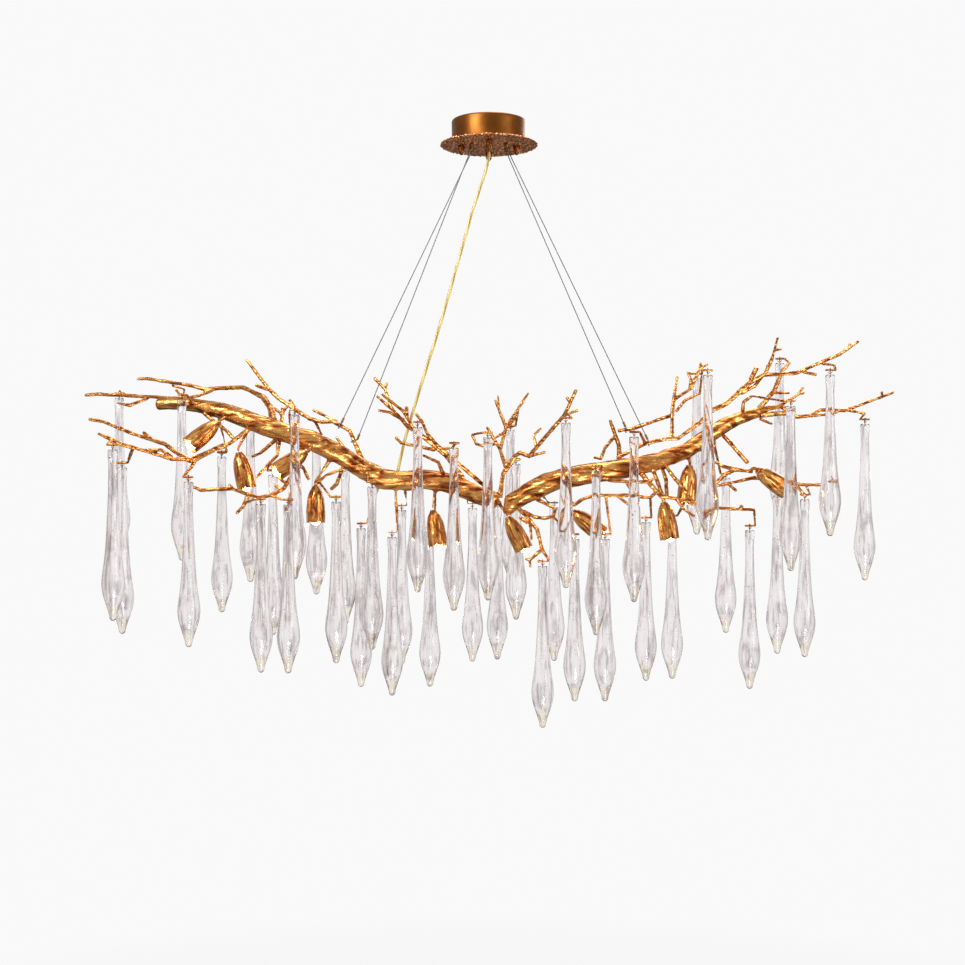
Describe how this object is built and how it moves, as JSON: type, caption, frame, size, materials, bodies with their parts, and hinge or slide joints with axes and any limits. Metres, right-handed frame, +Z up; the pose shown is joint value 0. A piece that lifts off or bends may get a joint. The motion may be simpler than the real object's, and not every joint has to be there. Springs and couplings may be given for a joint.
{
  "type": "branch chandelier",
  "caption": "Twisted cast-metal branches on wire cables from a round canopy, hung all along with long teardrop glass drops on wire links and lit by small pod-shaped lamps.",
  "frame": {"origin": "middle of the ceiling face, in the plane of the ceiling", "axes": "+Z up into the ceiling, +X along the branch to the right as seen from the front, -Y towards the front"},
  "size_m": [1.2272, 0.2967, 0.894],
  "materials": {
    "bough_bronze": "antique copper and gold leaf over cast metal, satin with polished high spots",
    "canopy_copper": "satin copper lacquer, hammered on the plate",
    "zinc_steel": "zinc plated",
    "gland_brass": "satin",
    "terminal_plastic": "matt",
    "cable_steel": "stranded wire rope",
    "cord_gold": "clear gold insulation",
    "socket_ceramic": "glazed",
    "bulb_glass": "warm lit frosted glass",
    "drop_glass": "clear cast glass with a faint lilac cast and small bubbles"
  },
  "bodies": {
    "fixture": {"ceiling_bracket": "zinc_steel", "canopy_can": "canopy_copper", "canopy_plate": "canopy_copper", "canopy_studs": "zinc_steel", "canopy_nuts": "canopy_copper", "cable_glands": "gland_brass", "cord_bush": "gland_brass", "terminal_block": "terminal_plastic", "suspension_cables": "cable_steel", "cable_eyes": "cable_steel", "power_cord": "cord_gold", "lamp_cups": "bough_bronze", "lamp_sockets": "socket_ceramic", "lamp_bulbs": "bulb_glass", "main_branch_left": "bough_bronze", "main_branch_right": "bough_bronze", "branch_left": "bough_bronze", "branch_upper_left": "bough_bronze", "branch_centre": "bough_bronze", "branch_right": "bough_bronze", "branch_lower": "bough_bronze"},
    "drop_a1": {"drop_a1": "drop_glass"},
    "drop_a2": {"drop_a2": "drop_glass"},
    "drop_a3": {"drop_a3": "drop_glass"},
    "drop_c": {"drop_c": "drop_glass"},
    "drop_d": {"drop_d": "drop_glass"},
    "drop_e1": {"drop_e1": "drop_glass"},
    "drop_f": {"drop_f": "drop_glass"},
    "drop_g": {"drop_g": "drop_glass"},
    "drop_h": {"drop_h": "drop_glass"},
    "drop_i": {"drop_i": "drop_glass"},
    "drop_l": {"drop_l": "drop_glass"},
    "drop_m": {"drop_m": "drop_glass"},
    "drop_n": {"drop_n": "drop_glass"},
    "drop_o": {"drop_o": "drop_glass"},
    "drop_p": {"drop_p": "drop_glass"},
    "drop_r": {"drop_r": "drop_glass"},
    "drop_s": {"drop_s": "drop_glass"},
    "drop_t": {"drop_t": "drop_glass"},
    "drop_v": {"drop_v": "drop_glass"},
    "drop_w": {"drop_w": "drop_glass"},
    "drop_x": {"drop_x": "drop_glass"},
    "drop_aa": {"drop_aa": "drop_glass"},
    "drop_z": {"drop_z": "drop_glass"},
    "drop_ab": {"drop_ab": "drop_glass"},
    "drop_ac": {"drop_ac": "drop_glass"},
    "drop_ad": {"drop_ad": "drop_glass"},
    "drop_ae": {"drop_ae": "drop_glass"},
    "drop_af": {"drop_af": "drop_glass"},
    "drop_ah": {"drop_ah": "drop_glass"},
    "drop_ai": {"drop_ai": "drop_glass"},
    "drop_ak": {"drop_ak": "drop_glass"},
    "drop_al": {"drop_al": "drop_glass"},
    "drop_am": {"drop_am": "drop_glass"},
    "drop_an": {"drop_an": "drop_glass"},
    "drop_ao": {"drop_ao": "drop_glass"},
    "drop_ap": {"drop_ap": "drop_glass"},
    "drop_ar": {"drop_ar": "drop_glass"},
    "drop_at": {"drop_at": "drop_glass"},
    "drop_av": {"drop_av": "drop_glass"}
  },
  "joints": [
    {"name": "drop_a1_swing", "type": "hinge", "parent": "fixture", "child": "drop_a1", "pos_m": [-0.564, 0.06, -0.401], "axis": [1, 0, 0], "range_deg": [-5, 5]},
    {"name": "drop_a2_swing", "type": "hinge", "parent": "fixture", "child": "drop_a2", "pos_m": [-0.518, -0.16, -0.485], "axis": [1, 0, 0], "range_deg": [-5, 5]},
    {"name": "drop_a3_swing", "type": "hinge", "parent": "fixture", "child": "drop_a3", "pos_m": [-0.52, -0.1, -0.509], "axis": [1, 0, 0], "range_deg": [-5, 5]},
    {"name": "drop_c_swing", "type": "hinge", "parent": "fixture", "child": "drop_c", "pos_m": [-0.45, -0.03, -0.409], "axis": [1, 0, 0], "range_deg": [-5, 5]},
    {"name": "drop_d_swing", "type": "hinge", "parent": "fixture", "child": "drop_d", "pos_m": [-0.428, -0.09, -0.529], "axis": [1, 0, 0], "range_deg": [-5, 5]},
    {"name": "drop_e1_swing", "type": "hinge", "parent": "fixture", "child": "drop_e1", "pos_m": [-0.404, 0.04, -0.491], "axis": [1, 0, 0], "range_deg": [-5, 5]},
    {"name": "drop_f_swing", "type": "hinge", "parent": "fixture", "child": "drop_f", "pos_m": [-0.356, 0.01, -0.443], "axis": [1, 0, 0], "range_deg": [-5, 5]},
    {"name": "drop_g_swing", "type": "hinge", "parent": "fixture", "child": "drop_g", "pos_m": [-0.319, -0.13, -0.56], "axis": [1, 0, 0], "range_deg": [-5, 5]},
    {"name": "drop_h_swing", "type": "hinge", "parent": "fixture", "child": "drop_h", "pos_m": [-0.318, -0.02, -0.519], "axis": [1, 0, 0], "range_deg": [-5, 5]},
    {"name": "drop_i_swing", "type": "hinge", "parent": "fixture", "child": "drop_i", "pos_m": [-0.278, -0.08, -0.433], "axis": [1, 0, 0], "range_deg": [-5, 5]},
    {"name": "drop_l_swing", "type": "hinge", "parent": "fixture", "child": "drop_l", "pos_m": [-0.261, 0.04, -0.464], "axis": [1, 0, 0], "range_deg": [-5, 5]},
    {"name": "drop_m_swing", "type": "hinge", "parent": "fixture", "child": "drop_m", "pos_m": [-0.223, -0.04, -0.558], "axis": [1, 0, 0], "range_deg": [-5, 5]},
    {"name": "drop_n_swing", "type": "hinge", "parent": "fixture", "child": "drop_n", "pos_m": [-0.219, 0.06, -0.511], "axis": [1, 0, 0], "range_deg": [-5, 5]},
    {"name": "drop_o_swing", "type": "hinge", "parent": "fixture", "child": "drop_o", "pos_m": [-0.19, 0, -0.598], "axis": [1, 0, 0], "range_deg": [-5, 5]},
    {"name": "drop_p_swing", "type": "hinge", "parent": "fixture", "child": "drop_p", "pos_m": [-0.169, -0.06, -0.536], "axis": [1, 0, 0], "range_deg": [-5, 5]},
    {"name": "drop_r_swing", "type": "hinge", "parent": "fixture", "child": "drop_r", "pos_m": [-0.133, 0.06, -0.572], "axis": [1, 0, 0], "range_deg": [-5, 5]},
    {"name": "drop_s_swing", "type": "hinge", "parent": "fixture", "child": "drop_s", "pos_m": [-0.102, -0.09, -0.451], "axis": [1, 0, 0], "range_deg": [-5, 5]},
    {"name": "drop_t_swing", "type": "hinge", "parent": "fixture", "child": "drop_t", "pos_m": [-0.09, 0.06, -0.606], "axis": [1, 0, 0], "range_deg": [-5, 5]},
    {"name": "drop_v_swing", "type": "hinge", "parent": "fixture", "child": "drop_v", "pos_m": [-0.051, -0.06, -0.48], "axis": [1, 0, 0], "range_deg": [-5, 5]},
    {"name": "drop_w_swing", "type": "hinge", "parent": "fixture", "child": "drop_w", "pos_m": [-0.025, 0.07, -0.569], "axis": [1, 0, 0], "range_deg": [-5, 5]},
    {"name": "drop_x_swing", "type": "hinge", "parent": "fixture", "child": "drop_x", "pos_m": [-0.002, -0.06, -0.465], "axis": [1, 0, 0], "range_deg": [-5, 5]},
    {"name": "drop_aa_swing", "type": "hinge", "parent": "fixture", "child": "drop_aa", "pos_m": [0.034, 0.11, -0.448], "axis": [1, 0, 0], "range_deg": [-5, 5]},
    {"name": "drop_z_swing", "type": "hinge", "parent": "fixture", "child": "drop_z", "pos_m": [0.041, 0.04, -0.502], "axis": [1, 0, 0], "range_deg": [-5, 5]},
    {"name": "drop_ab_swing", "type": "hinge", "parent": "fixture", "child": "drop_ab", "pos_m": [0.078, -0.04, -0.652], "axis": [1, 0, 0], "range_deg": [-5, 5]},
    {"name": "drop_ac_swing", "type": "hinge", "parent": "fixture", "child": "drop_ac", "pos_m": [0.1, 0.07, -0.568], "axis": [1, 0, 0], "range_deg": [-5, 5]},
    {"name": "drop_ad_swing", "type": "hinge", "parent": "fixture", "child": "drop_ad", "pos_m": [0.124, -0.05, -0.612], "axis": [1, 0, 0], "range_deg": [-5, 5]},
    {"name": "drop_ae_swing", "type": "hinge", "parent": "fixture", "child": "drop_ae", "pos_m": [0.109, -0.09, -0.445], "axis": [1, 0, 0], "range_deg": [-5, 5]},
    {"name": "drop_af_swing", "type": "hinge", "parent": "fixture", "child": "drop_af", "pos_m": [0.152, -0.09, -0.512], "axis": [1, 0, 0], "range_deg": [-5, 5]},
    {"name": "drop_ah_swing", "type": "hinge", "parent": "fixture", "child": "drop_ah", "pos_m": [0.206, -0.09, -0.465], "axis": [1, 0, 0], "range_deg": [-5, 5]},
    {"name": "drop_ai_swing", "type": "hinge", "parent": "fixture", "child": "drop_ai", "pos_m": [0.233, 0, -0.589], "axis": [1, 0, 0], "range_deg": [-5, 5]},
    {"name": "drop_ak_swing", "type": "hinge", "parent": "fixture", "child": "drop_ak", "pos_m": [0.311, -0.09, -0.377], "axis": [1, 0, 0], "range_deg": [-5, 5]},
    {"name": "drop_al_swing", "type": "hinge", "parent": "fixture", "child": "drop_al", "pos_m": [0.313, 0.03, -0.373], "axis": [1, 0, 0], "range_deg": [-5, 5]},
    {"name": "drop_am_swing", "type": "hinge", "parent": "fixture", "child": "drop_am", "pos_m": [0.497, -0.04, -0.373], "axis": [1, 0, 0], "range_deg": [-5, 5]},
    {"name": "drop_an_swing", "type": "hinge", "parent": "fixture", "child": "drop_an", "pos_m": [0.566, 0.03, -0.442], "axis": [1, 0, 0], "range_deg": [-5, 5]},
    {"name": "drop_ao_swing", "type": "hinge", "parent": "fixture", "child": "drop_ao", "pos_m": [0.444, 0.06, -0.348], "axis": [1, 0, 0], "range_deg": [-5, 5]},
    {"name": "drop_ap_swing", "type": "hinge", "parent": "fixture", "child": "drop_ap", "pos_m": [0.43, -0.086, -0.421], "axis": [1, 0, 0], "range_deg": [-5, 5]},
    {"name": "drop_ar_swing", "type": "hinge", "parent": "fixture", "child": "drop_ar", "pos_m": [0.43, 0.01, -0.55], "axis": [1, 0, 0], "range_deg": [-5, 5]},
    {"name": "drop_at_swing", "type": "hinge", "parent": "fixture", "child": "drop_at", "pos_m": [0.36, 0.05, -0.523], "axis": [1, 0, 0], "range_deg": [-5, 5]},
    {"name": "drop_av_swing", "type": "hinge", "parent": "fixture", "child": "drop_av", "pos_m": [0.387, 0, -0.601], "axis": [1, 0, 0], "range_deg": [-5, 5]}
  ]
}
